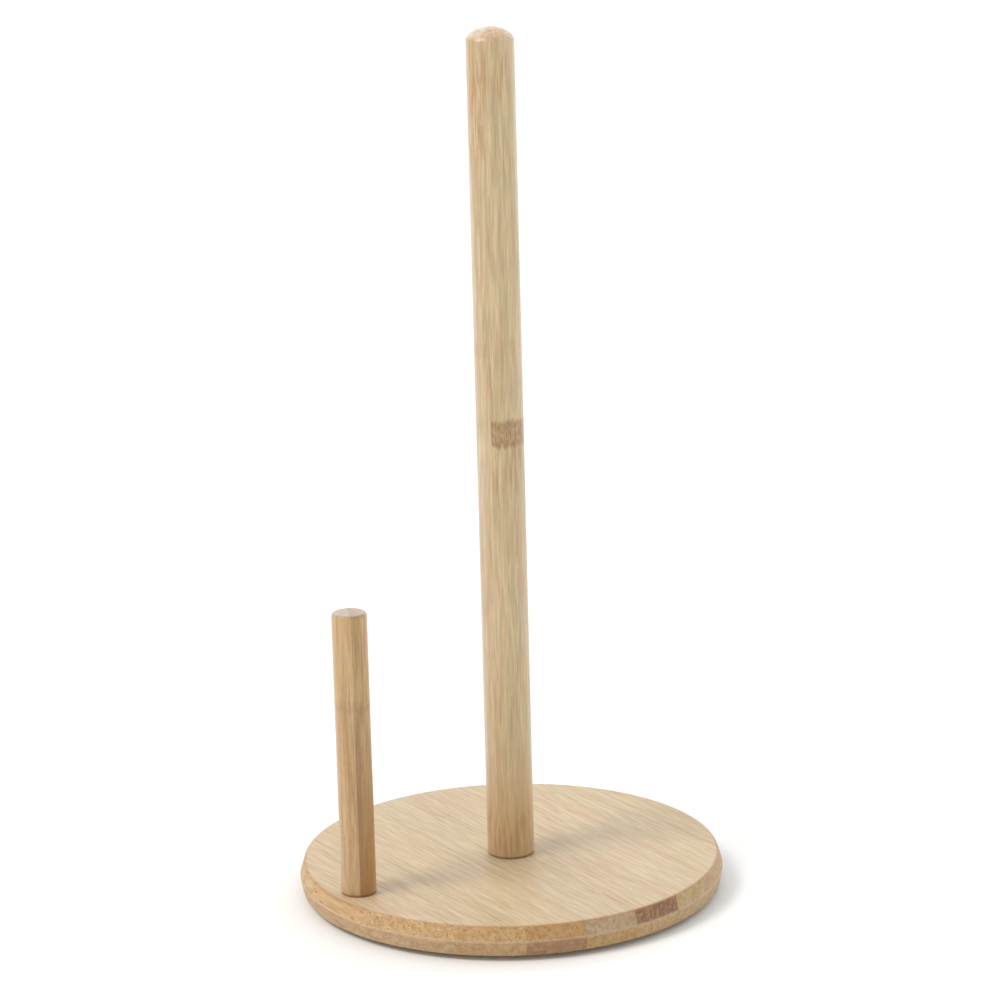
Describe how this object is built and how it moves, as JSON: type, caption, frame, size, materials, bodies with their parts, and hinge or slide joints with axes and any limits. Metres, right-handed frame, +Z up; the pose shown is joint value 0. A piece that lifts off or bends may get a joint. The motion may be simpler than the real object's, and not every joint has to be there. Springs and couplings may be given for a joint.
{
  "type": "paper towel holder",
  "caption": "Free-standing kitchen roll holder: round two-ply laminated wood base, tall round centre post with a domed top and a short tear-off post, on thin pads.",
  "frame": {"origin": "on the surface that the holder stands on, under the middle of the round base, on the centre post's axis", "axes": "+Z up along the centre post; -X from the centre post towards the tear post; Y across them"},
  "size_m": [0.162, 0.162, 0.3324],
  "materials": {
    "bamboo_board": "pressed bamboo strips, sanded, clear satin lacquer",
    "bamboo_post": "turned laminated bamboo, clear satin lacquer",
    "bamboo_tear_post": "turned laminated bamboo, clear satin lacquer",
    "plated_steel": "yellow zinc-plated steel wood screw",
    "pad_rubber": "matt anti-slip rubber pad"
  },
  "bodies": {
    "root": {"upper_strip_1": "bamboo_board", "upper_strip_2": "bamboo_board", "upper_strip_3": "bamboo_board", "upper_strip_4": "bamboo_board", "upper_strip_5": "bamboo_board", "upper_strip_6": "bamboo_board", "upper_strip_7": "bamboo_board", "upper_strip_8": "bamboo_board", "lower_strip_1": "bamboo_board", "lower_strip_2": "bamboo_board", "lower_strip_3": "bamboo_board", "lower_strip_4": "bamboo_board", "lower_strip_5": "bamboo_board", "lower_strip_6": "bamboo_board", "lower_strip_7": "bamboo_board", "lower_strip_8": "bamboo_board", "centre_post_front_half": "bamboo_post", "centre_post_back_half": "bamboo_post", "tear_post_inner_half": "bamboo_tear_post", "tear_post_outer_half": "bamboo_tear_post", "centre_post_screw": "plated_steel", "tear_post_screw": "plated_steel", "foot_pad_1": "pad_rubber", "foot_pad_2": "pad_rubber", "foot_pad_3": "pad_rubber", "foot_pad_4": "pad_rubber"}
  },
  "joints": []
}
